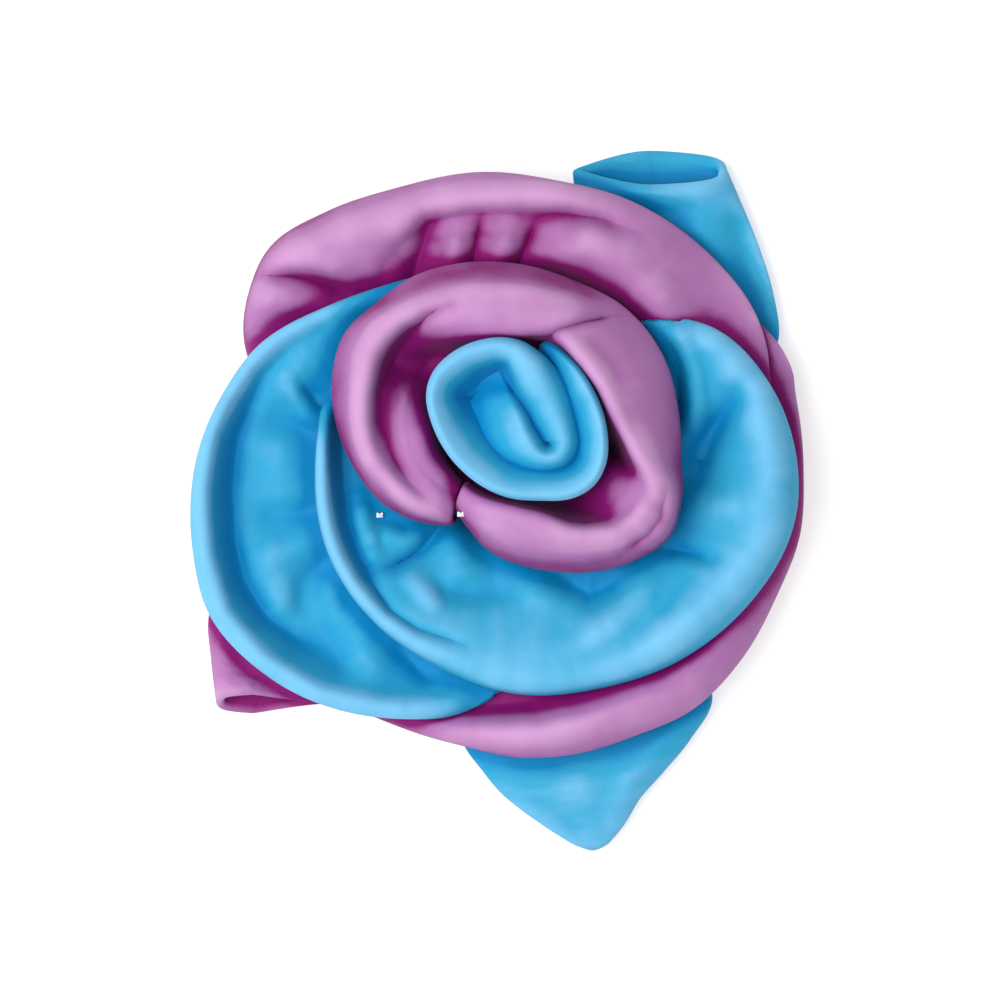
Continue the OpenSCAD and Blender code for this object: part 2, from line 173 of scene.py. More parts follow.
def strip_grid(start, rows, hem_in, joint, turns=320, across=88):
    """Middle surface of a strip laid round the flower's axis. Each row of the table is a
    section: its angle, the distance and height of its stations, and the height of its hem. The
    surface is the smooth curve through the hidden start, the stations and the hem, turned to
    the row's angle, with fewer points in the hidden start. Within 25 degrees of its ends the
    strip is skewed by up to the joint, in degrees, so that its end is round and no straight
    slit shows, and its hidden start lies under its end."""
    rows = along(rows, from_edge(turns, 0.7, 90.0))
    stations = rows[:, 1:-1].reshape(len(rows), -1, 2)
    stations[:, -1, 0] -= CLOTH / 2
    # A hem that hangs 1.6 mm or more below the rim turns in, and a level one stands out a little
    tuck = np.clip(1.5 * (stations[:, -1, 1] - rows[:, -1]) / CLOTH - 1, -0.3, 1)
    hem = np.stack([stations[:, -1, 0] - hem_in * tuck, rows[:, -1]], axis=1)
    first = np.broadcast_to(np.array(start, float), (len(rows), len(start), 2))
    stations = np.concatenate([first, stations, hem[:, None]], axis=1)
    spans = stations.shape[1] - 1
    weight = np.where(np.arange(spans) < len(start) - 1, 0.4, 1.0)
    passed = np.concatenate([[0], np.cumsum(weight)]) / weight.sum()
    v = np.interp(np.linspace(0, 1, across), passed, np.arange(spans + 1) / spans)
    place = along(stations.transpose(1, 0, 2), v).transpose(1, 0, 2)
    r, z = place[..., 0], place[..., 1]
    # The skew is largest 14 mm from the axis and near the foot. The inner part of the first end
    # goes back under that of the last, which lies a little higher
    first, last = (np.clip(1 - np.abs(rows[:, :1] - end) / 25, 0, 1) for end in rows[[0, -1], 0])
    skew = (np.clip((r - 10.7) / 3.3, -0.5, 1) - np.clip((r - 14) / 3.4, 0, 1.2)
            + 0.8 * np.clip((17 - z) / 8, 0, 1))
    inner = np.clip((9 - r) / 0.8, 0, 1)
    angle = np.radians(rows[:, :1] + joint * ((first + last) * skew - 0.6 * first * inner))
    place[..., 1] += 0.16 * joint * last * inner * np.clip((r - 5) / 1.2, 0, 1)
    return np.stack([AXIS[0] + place[..., 0] * np.cos(angle),
                     AXIS[1] + place[..., 0] * np.sin(angle), place[..., 1]], axis=2)


def wall_rings(grid, border=0.6, arc=4):
    """Closed rings round a wall: half its thickness to each side of the middle surface, with
    half circles round the foot and the hem, drawn in to a rounded end at both ends. The wall
    thins to the border's share of its thickness over the last eighth at the foot and the hem."""
    n, m = grid.shape[:2]
    normal = unit(np.cross(np.gradient(grid, axis=0), np.gradient(grid, axis=1)))
    inward = np.minimum(np.arange(m), np.arange(m)[::-1]) / (0.12 * m)
    half = CLOTH / 2 * (border + (1 - border) * np.clip(inward, 0, 1)**0.5)
    length = np.linalg.norm(np.diff(grid[:, m // 2], axis=0), axis=1)
    run = np.concatenate([[0], np.cumsum(length)])
    round_off = rounded(np.minimum(run, run[-1] - run) / (CLOTH / 2))[:, None]
    turn = np.pi * (np.arange(arc * 2) + 0.5) / (arc * 2)

    def border_arc(j, inner):
        out = unit(grid[:, j] - grid[:, inner])
        side = -normal[:, j] if j == 0 else normal[:, j]
        return half[j] * (side[:, None] * np.cos(turn)[:, None]
                          + out[:, None] * np.sin(turn)[:, None])

    front = normal * half[:, None]
    foot, hem = border_arc(0, 1), border_arc(m - 1, m - 2)
    core = np.concatenate([np.repeat(grid[:, :1], arc, 1), grid,
                           np.repeat(grid[:, -1:], 2 * arc, 1),
                           grid[:, ::-1], np.repeat(grid[:, :1], arc, 1)], axis=1)
    away = np.concatenate([foot[:, arc:], front, hem, -front[:, ::-1], foot[:, :arc]], axis=1)
    return core + away * round_off[..., None]


def leaf_rings(rows, faces, lines, mouth, around=132, lengthwise=130, hollow=0.07):
    """Rings of a flat pocket: squared ovals of the table's half widths and heights from its
    closed end to its mouth, a half circle over the lip, and the same ovals drawn in by the
    cloth's thickness back to the share of the length where the hollow begins. The leaf faces
    forward or back, 1 or -1. Its mouth gives, seen from the closed end, how far to the right
    the highest place of the open oval is, and its squareness at the right and at the left."""
    theta = 2 * np.pi * (np.arange(around) + 0.5) / around
    lip = np.pi * np.arange(1, 10) / 10
    rest = lengthwise + 2
    share = np.concatenate([from_edge(lengthwise - 6, 1.0, 45.0), np.ones(len(lip)),
                            np.linspace(1, hollow, rest)])
    inset = np.concatenate([np.zeros(rest), CLOTH * (1 - np.cos(lip)) / 2,
                            np.full(rest, CLOTH)])[:, None]
    ahead = np.concatenate([np.zeros(rest), CLOTH * np.sin(lip) / 2, np.zeros(rest)])[:, None]
    x, y, half_width, height, lead = along(rows, share).T[..., None]
    off_centre, square_right, square_left = mouth
    open_share = np.clip((share[:, None] - 0.55) / 0.45, 0, 1)**1.5
    square = square_left + (square_right - square_left) * (1 + np.cos(theta)) / 2
    square = 0.62 + open_share * (square - 0.62)
    side = np.sign(np.cos(theta)) * np.abs(np.cos(theta))**square
    side = side + open_share * off_centre * (1 - side**2)
    run = np.concatenate([[0], np.cumsum(np.hypot(np.diff(x[:, 0]), np.diff(y[:, 0])))])
    tip = np.where(inset == 0, rounded(run / 1.1)[:, None], 1)
    aside = side * (half_width * tip - inset)
    up = np.sign(np.sin(theta)) * np.abs(np.sin(theta))**square * (height / 2 * tip - inset)
    rings = np.stack([x + faces * aside, y + faces * (ahead - lead * up / height),
                      height / 2 + up], axis=2)
    press(rings, lines, share=np.clip(2 * up / height, 0, 1))
    return rings


def bud_rings(rows, lines, steps=460):
    """Rings round a rolled strip that follows the crest line of its rim: on each side of the
    crest the cloth falls by the drop times the power of the share of its reach, then goes
    down to the foot, where the whole roll is drawn together."""
    rows = along(rows, from_edge(steps, 0.6, 95.0))
    x, y, z = rows[:, 0], rows[:, 1], BUD_Z + rows[:, 2]
    way = unit(np.stack([np.gradient(x), np.gradient(y)], axis=1))
    out = np.stack([-way[:, 1], way[:, 0]], axis=1)
    s = np.sin(np.linspace(0, np.pi / 2, 26))
    deep = np.linspace(0, 1, 12)[1:]
    run = np.concatenate([[0], np.cumsum(np.hypot(np.diff(x), np.diff(y)))])
    round_off = rounded(np.minimum(run, run[-1] - run) / 0.9)[:, None]
    foot = FOOT_Z + 1.6

    def side(reach, drop, power, sign, tuck):
        reach, drop, power = reach[:, None] * round_off, drop[:, None], power[:, None]
        fall = z[:, None] - drop * s**power - (1 - round_off) * 1.2
        down = fall[:, -1:] - (fall[:, -1:] - foot) * deep**1.5
        pulled = tuck * (1 - np.exp(-(fall[:, -1:] - down) / 2.0))
        a = np.concatenate([reach * s, reach - pulled * round_off], axis=1)
        return sign * a, np.concatenate([fall, down], axis=1)

    outer_a, outer_z = side(rows[:, 3], rows[:, 4], rows[:, 5], 1, 0.7)
    inner_a, inner_z = side(rows[:, 6], rows[:, 7], rows[:, 8], -1, 0.3)
    a = np.concatenate([outer_a[:, ::-1], inner_a[:, 1:]], axis=1)
    height = np.concatenate([outer_z[:, ::-1], inner_z[:, 1:]], axis=1)
    flat = np.stack([x, y], axis=1)[:, None] + a[..., None] * out[:, None]
    share = 0.36 + 0.64 * np.clip((height - foot) / (BUD_Z - 6 - foot), 0, 1)**2
    flat = flat * share[..., None] + AXIS
    rings = np.concatenate([flat, height[..., None]], axis=2)
    press(rings, lines, share=np.clip((height - BUD_Z + 9) / 4, 0, 1))
    return rings


def petal_rings(below, start, rows, hem_in, lines, joint):
    """Closed wall of a strip, pressed along its lines and then laid over the cloth below: its
    height z becomes z + s ln(1 + exp((h - z) / s)), where h is the height of that cloth with
    half a wall and the gap over it, and s is how softly it bends."""
    grid = strip_grid(start, rows, hem_in, joint)
    press(grid, lines)
    h = height_at(height_map(below), grid[..., :2]) + CLOTH / 2 + GAP
    grid[..., 2] += BEND * np.log1p(np.exp((h - grid[..., 2]) / BEND))
    return wall_rings(grid)


# The bud's rim from its outer end inward: right and forward of the axis, height from the
# highest place; then reach, drop and power of its outer side, and of its inner side
BUD = [
    [3.4, 11.3, -5.0, 0.8, 1.0, 2, 1.2, 1.4, 1.5],
    [5.5, 10.1, -3.0, 0.8, 1.0, 2, 1.5, 1.8, 1.5],
    [7.7, 7.9, -1.3, 0.8, 1.0, 2, 2.1, 2.4, 1.6],
    [9.5, 5.1, -0.5, 0.8, 1.0, 2, 2.8, 2.8, 1.6],
    [10.8, 1.9, -0.1, 0.8, 1.1, 2, 3.2, 3.3, 1.5],
    [11.3, -1.3, 0.0, 0.8, 1.1, 2, 3.3, 3.6, 1.5],
    [11.0, -4.1, 0.0, 0.8, 1.1, 2, 3.4, 3.8, 1.5],
    [9.6, -6.5, -0.1, 0.8, 1.1, 2, 3.6, 3.7, 1.5],
    [7.0, -7.9, -0.1, 0.8, 1.1, 2, 3.6, 3.5, 1.6],
    [3.6, -8.1, -0.2, 0.8, 1.1, 2, 3.6, 3.4, 1.6],
    [-0.3, -7.8, -0.2, 0.8, 1.1, 2, 3.9, 3.6, 1.5],
    [-3.8, -6.3, -0.2, 0.8, 1.1, 2, 4.3, 4.1, 1.4],
    [-6.7, -3.9, -0.1, 0.8, 1.1, 2, 4.7, 4.8, 1.3],
    [-8.7, -1.2, 0.0, 0.8, 1.1, 2, 5.0, 5.4, 1.3],
    [-10.0, 1.8, 0.0, 0.8, 1.1, 2, 5.1, 6.2, 1.3],
    [-10.5, 4.6, 0.0, 0.8, 1.1, 2, 5.1, 7.0, 1.3],
    [-9.7, 7.1, 0.0, 0.9, 1.1, 2, 5.1, 7.5, 1.4],
    [-7.7, 9.1, 0.0, 1.0, 1.1, 2, 5.1, 7.8, 1.5],
    [-5.1, 10.5, -0.1, 1.0, 1.1, 2, 4.7, 7.8, 1.7],
    [-2.2, 11.1, -0.2, 1.0, 1.1, 2, 4.0, 7.2, 2.0],
    [0.2, 10.3, -0.3, 1.6, 1.8, 2.2, 3.2, 5.2, 2.2],
    [1.8, 8.5, -0.4, 2.4, 2.4, 2.2, 3.4, 4.4, 2.6],
    [3.0, 6.5, -0.5, 3.0, 2.8, 2.0, 3.3, 3.6, 2.6],
    [4.2, 4.3, -0.6, 3.3, 3.0, 1.9, 3.1, 3.2, 2.3],
    [5.2, 2.1, -0.7, 3.1, 3.0, 1.9, 3.0, 2.9, 2.0],
    [6.0, 0.2, -0.8, 2.7, 3.0, 1.9, 2.8, 2.8, 1.8],
    [6.4, -1.4, -0.8, 2.4, 2.9, 1.9, 2.6, 2.9, 1.7],
    [5.8, -2.8, -0.8, 2.2, 2.8, 1.9, 2.1, 2.8, 1.6],
    [4.4, -3.3, -0.9, 2.2, 2.8, 1.9, 1.9, 2.8, 1.6],
    [3.0, -2.8, -0.9, 2.9, 3.0, 1.8, 1.9, 2.8, 1.7],
    [1.9, -1.5, -0.9, 4.4, 3.6, 1.6, 2.0, 2.7, 1.8],
    [1.1, 0.1, -1.1, 5.4, 4.0, 1.4, 1.8, 2.5, 1.8],
    [0.5, 1.6, -1.6, 5.8, 4.0, 1.3, 1.7, 2.1, 1.8],
    [-0.1, 3.0, -2.4, 5.8, 3.5, 1.2, 1.5, 1.7, 1.8],
    [-0.6, 4.2, -3.3, 5.6, 2.8, 1.2, 1.3, 1.2, 1.8],
    [-1.0, 5.4, -4.2, 5.1, 1.8, 1.2, 0.9, 1.2, 2],
    [-1.5, 6.6, -4.9, 4.4, 1.4, 1.3, 0.9, 1.0, 2],
    [-2.1, 7.8, -5.4, 3.8, 1.2, 1.4, 0.8, 0.8, 2],
    [-2.8, 9.2, -5.8, 3.2, 1.2, 1.5, 0.8, 0.8, 2]]
BUD_LINES = [[-0.8, 1.6, 2, 468, 412, 472, 394, 484, 380, 504, 380]]

# Strips round the axis. Hidden start: distance and height of its stations. Sections: angle,
# distance and height of each station, then the hem's height. Lines: height, half width,
# power, then the columns and rows that they pass.
WRAP_START = [[0.7, FOOT_Z + 0.6], [8.2, FOOT_Z + 0.6], [10, FOOT_Z + 2.6]]
WRAP = [
    [-131, 9.3, 15, 9.5, 18.4, 9.8, 21.4, 11, 20.8, 12.5, 17, 13.5],
    [-112, 9.3, 15, 9.5, 18.6, 9.8, 22.8, 12.2, 21.8, 14.4, 17, 13.2],
    [-98, 9.3, 15, 9.6, 18.6, 9.9, 23.4, 13.2, 22, 16.1, 16.6, 13],
    [-84, 9.6, 15, 9.9, 18.6, 10.6, 23.8, 14.4, 21.9, 17.5, 16.4, 12.9],
    [-71, 10.3, 13.6, 10.8, 17, 11.9, 23.4, 15.8, 21.7, 19.1, 16.2, 12.8],
    [-58, 11.4, 12.2, 12.6, 15.6, 15, 22.5, 18, 21.3, 21.1, 15.8, 12.8],
    [-46, 12.4, 14.2, 14.8, 17.2, 17.9, 21.8, 20.3, 21, 22.9, 15.8, 12.8],
    [-34, 12.6, 18, 16, 20.2, 19.8, 21.8, 22, 21.1, 24.3, 16, 12.8],
    [-22, 12.6, 18.4, 16, 20.6, 19.5, 22.4, 21.5, 21.3, 23.4, 16.2, 12.8],
    [-9, 12.6, 13, 14.2, 17, 15.9, 23.6, 18.9, 21.4, 21.9, 16.2, 12.8],
    [8, 12.3, 15, 12.8, 19, 13.5, 24.3, 17.5, 21.6, 21.4, 16.2, 12.8],
    [28, 12.2, 16, 12.5, 20, 12.9, 24.6, 17.2, 21.4, 21.6, 16.2, 12.8],
    [48, 12.2, 16, 12.6, 20, 13, 24.2, 17.2, 21.3, 21.5, 16.2, 12.8],
    [68, 12.3, 16, 12.9, 20, 14, 23.6, 17.8, 22, 21.1, 15.8, 12.8],
    [90, 12.3, 16, 12.6, 20.2, 13.2, 23.8, 18.1, 22.5, 21.8, 15.8, 12.8],
    [108, 12.3, 15.4, 12.8, 19.8, 13.8, 23.2, 18.8, 22.2, 22.9, 15.8, 12.8],
    [123, 12.4, 13.4, 13.4, 16.2, 15.2, 21.4, 19.6, 21.8, 23.9, 16, 12.8],
    [137, 12.5, 12.2, 14.8, 13.2, 17.3, 16.8, 21.2, 21.6, 24.4, 16, 12.8],
    [150, 12.4, 12.6, 14.8, 13.8, 17.6, 15, 21.4, 21.8, 25.3, 16, 12.8],
    [163, 12.1, 15.6, 14.4, 17.8, 17, 17.2, 20.5, 22, 24.5, 16, 12.8],
    [178, 11.2, 18.2, 14, 19.6, 16.6, 18.2, 19.5, 22, 22.9, 16, 12.8],
    [194, 10.8, 18.4, 13.6, 19.8, 15.9, 18.6, 18.3, 21.7, 21, 16, 12.8],
    [208, 10.2, 18.2, 12.6, 19.8, 14.8, 19.6, 16.9, 20.6, 19.4, 15.8, 12.9],
    [218, 9.9, 17.6, 12, 19.6, 13.8, 20, 15.5, 19.4, 17.5, 15.8, 13],
    [227.2, 9.8, 17, 11.2, 18.6, 12.4, 18.8, 13.4, 17.8, 14.5, 15.6, 13.2]]
WRAP_LINES = [
    [0.6, 0.8, 2, 552, 331, 570, 345, 584, 359, 602, 385, 614, 412, 632, 455, 650, 482, 661, 506],
    [-0.5, 1.2, 2, 577, 336, 596, 350, 612, 368, 622, 396],
    [-1.9, 0.8, 1.5, 662, 492, 658, 517, 646, 532, 618, 549],
    [0.6, 0.9, 2, 580, 528, 610, 531, 634, 518, 652, 494],
    [-1.7, 0.7, 1.5, 536, 340, 560, 331, 582, 325, 614, 320],
    [-1.9, 0.9, 1.5, 452, 306, 430, 316, 412, 330, 397, 348, 386, 368, 378, 390, 374, 420],
    [-0.9, 1.1, 2, 376, 400, 374, 445, 381, 475, 396, 503],
    [0.5, 1.0, 2, 452, 296, 421, 305, 400, 322, 384, 343, 371, 372, 362, 402, 358, 436],
    [0.4, 0.6, 2, 400, 346, 440, 342, 470, 338, 505, 336],
    [-1.3, 1.5, 2, 388, 306, 410, 291, 440, 280, 480, 274, 530, 277, 575, 289, 620, 314],
    [0.5, 0.9, 2, 430, 298, 470, 292, 520, 294, 570, 303, 606, 316],
    [-0.6, 1.0, 2, 470, 545, 520, 560, 580, 563, 640, 548]]

BLUE_RIGHT_START = [[10.1, FOOT_Z], [15.4, 9.9]]
BLUE_RIGHT = [
    [41, 18, 11.4, 20.4, 11.2, 22.2, 11.2, 10.4],
    [27, 22.6, 11.7, 27, 14, 29.3, 12.9, 10.9],
    [10, 24.6, 11.9, 30.8, 14.8, 33.9, 12.6, 10.2],
    [-8, 25.6, 11.9, 33.4, 15.6, 37.2, 12.6, 10.2],
    [-21, 26, 11.8, 34.4, 15.8, 38.3, 12.6, 10.2],
    [-37, 26, 11.7, 33.6, 15.8, 37.7, 12.4, 10.1],
    [-54, 25.5, 12.6, 33.2, 15.4, 36.6, 12.2, 10],
    [-71, 25, 13.2, 32.2, 15, 35.1, 12.2, 10],
    [-89, 24.5, 13.4, 31.4, 14.8, 34, 12.4, 10.3],
    [-107, 24, 13.4, 29.5, 15, 32.1, 12.8, 10.8],
    [-125, 24.5, 13.2, 28.9, 15.4, 30.7, 13.4, 11],
    [-145, 24, 12.6, 27.5, 16, 28.9, 14, 11.4],
    [-166, 22.3, 11.7, 25.3, 16.4, 26.5, 14.6, 13.2],
    [-178, 22.2, 11.5, 24.6, 15.6, 25.5, 14.4, 13.6],
    [-187, 22, 11.4, 24.2, 13.4, 25, 12.6, 12.2],
    [-196, 20.8, 11.3, 22.6, 10.9, 24.1, 10.8, 10.4]]
BLUE_RIGHT_LINES = [
    [0.7, 0.9, 2, 324, 405, 319, 440, 318, 470, 320, 500, 326, 535, 340, 568, 362, 598,
     388, 623, 420, 645, 470, 667],
    [-1.9, 1.5, 2, 337, 425, 337, 460, 339, 490, 343, 520, 353, 550, 368, 578, 388, 606],
    [-1.1, 0.8, 1.7, 366, 580, 390, 611, 418, 629, 466, 645],
    [1.1, 1.2, 2, 358, 500, 364, 525, 372, 552],
    [0.9, 1.1, 2, 380, 533, 405, 540, 428, 531],
    [-1.5, 1.1, 2, 453, 508, 438, 531, 420, 551, 396, 565, 372, 571],
    [1.5, 2.2, 2, 452, 530, 462, 565],
    [-1.1, 2.0, 2, 448, 592, 478, 594, 510, 588],
    [1.0, 1.4, 2, 416, 584, 434, 602],
    [1.0, 1.9, 2, 515, 580, 545, 594],
    [-1.6, 1.9, 2, 562, 578, 588, 594, 608, 586],
    [0.9, 1.9, 2, 662, 556, 640, 590, 612, 620, 572, 648],
    [-0.5, 1.6, 2, 684, 580, 656, 614, 624, 641, 575, 664],
    [0.5, 1.8, 2, 706, 600, 676, 630, 646, 650],
    [-1.4, 1.3, 2, 660, 548, 684, 552, 712, 560],
    [1.3, 2.6, 2, 692, 510, 745, 503],
    [-1.9, 1.9, 2, 748, 376, 728, 412, 706, 444, 694, 476],
    [-1.2, 2.4, 2, 712, 430, 698, 470],
    [1.4, 1.3, 2, 658, 318, 680, 340, 694, 372, 697, 405, 686, 440],
    [-1.6, 1.1, 2, 664, 338, 676, 366, 679, 400, 676, 430],
    [0.6, 3.0, 2, 760, 420, 768, 490]]

BLUE_LEFT_START = [[13.8, FOOT_Z], [17.2, 8.5]]
BLUE_LEFT = [
    [119, 19.8, 9.3, 21.9, 10, 23.4, 10.2, 9.6],
    [133, 21.4, 9.5, 24, 11.6, 25.7, 11.2, 9.4],
    [147, 23.2, 10.1, 28.1, 12.8, 29.4, 11.4, 9.4],
    [161, 27, 9.8, 33.4, 13.4, 34.7, 11.2, 9.2],
    [172, 30, 9.2, 36.5, 13.6, 37.8, 11, 8.8],
    [186, 33, 8.3, 40.1, 13.6, 41.4, 10.8, 8.4],
    [201, 35, 7.9, 43, 13.4, 44.3, 10.6, 8.2],
    [212, 35.6, 7.9, 44.5, 13.2, 45.8, 10.6, 8.2],
    [225, 35.2, 7.9, 43.4, 13, 44.7, 10.6, 8.2],
    [236, 34.4, 8.3, 41.5, 12.8, 42.8, 10.4, 8.2],
    [248, 33, 8.8, 38.7, 12.2, 40, 10.2, 8.2],
    [256, 31.5, 9, 36.4, 11, 38.2, 9.6, 8],
    [262, 29.5, 9.1, 34, 9.4, 36, 8.8, 7.9],
    [268, 26.5, 9.2, 30.5, 8.6, 33, 8.3, 7.8]]
BLUE_LEFT_LINES = [
    [-2.6, 1.9, 2, 318, 326, 287, 348, 261, 374, 244, 404, 233, 440, 228, 490, 231, 540,
     242, 582, 265, 618, 296, 644, 336, 664],
    [0.7, 0.8, 2, 300, 305, 258, 332, 228, 376, 210, 430, 203, 490, 208, 555, 225, 612,
     262, 657, 320, 692, 400, 707],
    [1.2, 3.2, 2, 298, 376, 324, 358],
    [0.9, 1.1, 2, 286, 380, 300, 402, 322, 430],
    [-1.2, 1.4, 2, 308, 390, 330, 408],
    [-0.8, 2.0, 2, 258, 415, 290, 425, 314, 434],
    [1.2, 3.2, 2, 280, 456, 287, 482],
    [-0.9, 1.8, 2, 254, 512, 290, 513, 320, 508],
    [0.9, 2.0, 2, 258, 556, 286, 550, 318, 538],
    [0.8, 2.6, 2, 274, 572, 282, 604],
    [-1.4, 1.7, 2, 322, 562, 308, 582, 302, 604],
    [0.8, 1.3, 2, 330, 585, 336, 616],
    [-0.8, 2.2, 2, 296, 628, 338, 645],
    [1.5, 2.6, 2, 350, 622, 372, 664],
    [-1.0, 1.4, 2, 402, 650, 424, 676]]

PINK_TOP_START = [[15.4, FOOT_Z], [18.8, 7.1]]
PINK_TOP = [
    [-8, 25, 7.7, 31.4, 8, 33, 7.8, 7.4],
    [7, 25, 7.8, 31.6, 8, 33.6, 7.8, 7.4],
    [25, 25, 10.6, 30, 8.9, 34.7, 7.7, 7],
    [40, 24.4, 12.8, 29.4, 10.2, 34.3, 7.4, 6.6],
    [61, 24, 12.8, 29.6, 12.2, 33.8, 8.6, 7],
    [80, 23.6, 12.2, 30.5, 13.8, 33.2, 10.6, 7.6],
    [97, 23.4, 12, 30.1, 13.6, 34.1, 9.6, 6.6],
    [115, 23.6, 9.8, 30.8, 12.6, 35.2, 8, 4.6],
    [130, 25, 7.4, 33.6, 11, 37.7, 5.8, 2.6],
    [142, 28, 7.3, 36.6, 9.6, 40, 4.2, 0.8],
    [152, 29.6, 7.1, 36.8, 8.6, 39.2, 3.9, 0.8],
    [162, 28.5, 6.8, 34.4, 6.9, 36.9, 3.8, 1.3],
    [172, 26, 6.6, 30, 6.4, 32, 5, 4]]
PINK_TOP_LINES = [
    [0.5, 1.8, 2, 290, 236, 330, 215, 380, 200, 430, 190, 480, 187, 540, 189, 600, 198,
     650, 220],
    [-1.3, 1.2, 1.6, 384, 262, 402, 242, 418, 226, 440, 216, 472, 211, 521, 211, 569, 212,
     605, 219, 640, 236],
    [-2.2, 2.4, 2.5, 408, 250, 432, 233, 470, 229, 520, 229, 566, 234],
    [-1.8, 1.6, 2, 430, 222, 422, 246, 412, 288],
    [1.1, 1.1, 2, 459, 228, 454, 256, 448, 296],
    [-1.3, 0.9, 2, 482, 214, 476, 246, 468, 290],
    [1.2, 1.4, 2, 511, 226, 501, 256, 490, 296],
    [-1.2, 0.9, 2, 538, 220, 526, 246, 504, 286],
    [0.9, 2.3, 2, 548, 258, 590, 246, 622, 252],
    [-1.2, 1.4, 2, 525, 218, 560, 217, 595, 222, 630, 238],
    [-1.2, 1.0, 2, 528, 264, 566, 275, 596, 291, 636, 316],
    [-2.3, 1.3, 1.7, 256, 277, 290, 275, 312, 277, 332, 285, 356, 295],
    [0.9, 1.8, 2, 276, 300, 308, 304, 336, 302],
    [0.9, 2.2, 2, 322, 262, 352, 268, 384, 272],
    [0.6, 1.2, 2, 253, 275, 250, 300, 252, 330]]

PINK_BOTTOM_START = [[17.9, FOOT_Z], [21.2, 5.75]]
PINK_BOTTOM = [
    [29, 25, 6, 30, 6, 33.4, 6, 5.9],
    [17, 28, 6, 33.8, 6.1, 36.5, 6, 5.9],
    [5, 30, 6, 34.9, 6.2, 37.2, 5.8, 4.6],
    [-8, 31.4, 5.9, 36, 6.8, 38.2, 5.5, 3.6],
    [-20, 32.6, 7.4, 36.9, 7.7, 39.7, 5.6, 3.4],
    [-32, 33.4, 7.4, 37.4, 8.6, 40.4, 6, 3.6],
    [-45, 33.6, 7.4, 38.4, 10, 41.9, 7, 4.2],
    [-57, 33, 7.4, 38.5, 11.2, 42.9, 7.8, 5.6],
    [-68, 31.4, 7.4, 38.2, 11.8, 42.5, 8.4, 6],
    [-79, 32, 7.4, 38.7, 12, 42.6, 8.6, 6],
    [-89, 32.8, 7.4, 39, 11.4, 42.3, 8.4, 6],
    [-99, 34, 7.4, 39.2, 9.8, 41.4, 7.8, 5.9],
    [-109, 35, 5.7, 39.4, 8, 41.2, 6.6, 5.2],
    [-119, 34, 5.4, 38.8, 5.8, 41.3, 5, 4.4]]
PINK_BOTTOM_LINES = [
    [-0.9, 1.3, 2, 455, 712, 500, 708, 548, 706],
    [0.5, 1.3, 2, 440, 728, 500, 734, 545, 733, 590, 719, 640, 694],
    [0.4, 1.4, 2, 690, 668, 735, 620, 768, 560]]

# Leaves from the closed end to the mouth: middle right and forward, half width, height,
# lead of the lower lip
LEAF_TOP = [
    [29, 17.5, 5.6, 3.8, 0],
    [28.8, 21.5, 7.9, 4.6, 0],
    [26, 27.5, 9.9, 5, 0],
    [23.4, 33, 10.8, 5.4, 0],
    [21.3, 38, 10.9, 6.2, 1.4],
    [19.8, 42.9, 10.1, 6.8, 5.6]]
LEAF_LEFT = [
    [-25.5, -3, 5, 4.4, 0],
    [-28, -9, 8, 5.9, 0],
    [-29.6, -15, 8.3, 6.1, 0],
    [-29.6, -20.6, 8, 5.9, 0.5],
    [-29.3, -25.8, 7.7, 5.6, 3.2]]
LEAF_BOTTOM = [
    [12.3, -45.7, 1.3, 2.6, 0],
    [11.1, -42.4, 5.3, 3.4, 0],
    [9.8, -38.8, 8.8, 4.2, 0],
    [9.8, -35.4, 11.8, 4.7, 0],
    [10.2, -31, 15, 4.9, 0],
    [12, -25.5, 16, 4.9, 0],
    [12, -18, 13, 4.6, 0]]

LEAF_TOP_LINES = [
    [-1.1, 2.0, 2, 628, 214, 668, 212, 706, 206],
    [0.4, 1.2, 2, 590, 178, 630, 186, 670, 196, 700, 196, 722, 180],
    [-2.2, 2.8, 2, 738, 190, 748, 240, 760, 320]]
LEAF_LEFT_LINES = [
    [0.5, 1.3, 2, 216, 630, 218, 662, 228, 690],
    [-0.7, 1.6, 2, 232, 640, 250, 668, 284, 694],
    [0.4, 1.0, 2, 226, 697, 246, 688, 270, 698, 296, 709]]
LEAF_BOTTOM_LINES = [
    [0.8, 1.6, 2, 712, 700, 665, 742, 632, 778, 614, 815],
    [-0.3, 1.4, 2, 552, 812, 572, 828, 580, 842],
    [0.4, 2.6, 2, 520, 775, 585, 800],
    [-0.4, 1.2, 2, 500, 760, 540, 765, 590, 760]]

# Each leaf: sections, direction that it faces, 1 forward or -1 back, lines, and mouth
LEAVES = {
    "leaf_top": (LEAF_TOP, 1, LEAF_TOP_LINES, (0.0, 0.7, 1.7)),
    "leaf_left": (LEAF_LEFT, -1, LEAF_LEFT_LINES, (0.4, 0.9, 2.2)),
    "leaf_bottom": (LEAF_BOTTOM, 1, LEAF_BOTTOM_LINES, (0.0, 0.62, 0.62)),
}
# Strips from the lowest to the highest: hidden start, sections, how far the hem turns in,
# lines, and how far the joint between the strip's ends is skewed
STRIPS = {
    "petal_pink_bottom": (PINK_BOTTOM_START, PINK_BOTTOM, 1.5, PINK_BOTTOM_LINES, 0),
    "petal_pink_top": (PINK_TOP_START, PINK_TOP, 1.6, PINK_TOP_LINES, 0),
    "petal_blue_left": (BLUE_LEFT_START, BLUE_LEFT, 1.5, BLUE_LEFT_LINES, 0),
    "petal_blue_right": (BLUE_RIGHT_START, BLUE_RIGHT, 1.5, BLUE_RIGHT_LINES, 0),
    "wrap": (WRAP_START, WRAP, 0.9, WRAP_LINES, 8),
}
shells = {name: leaf_rings(*leaf) for name, leaf in LEAVES.items()}
for name, strip in STRIPS.items():
    shells[name] = petal_rings(shells.values(), *strip)
shells["bud"] = bud_rings(BUD, BUD_LINES)
flower = height_map(shells.values())


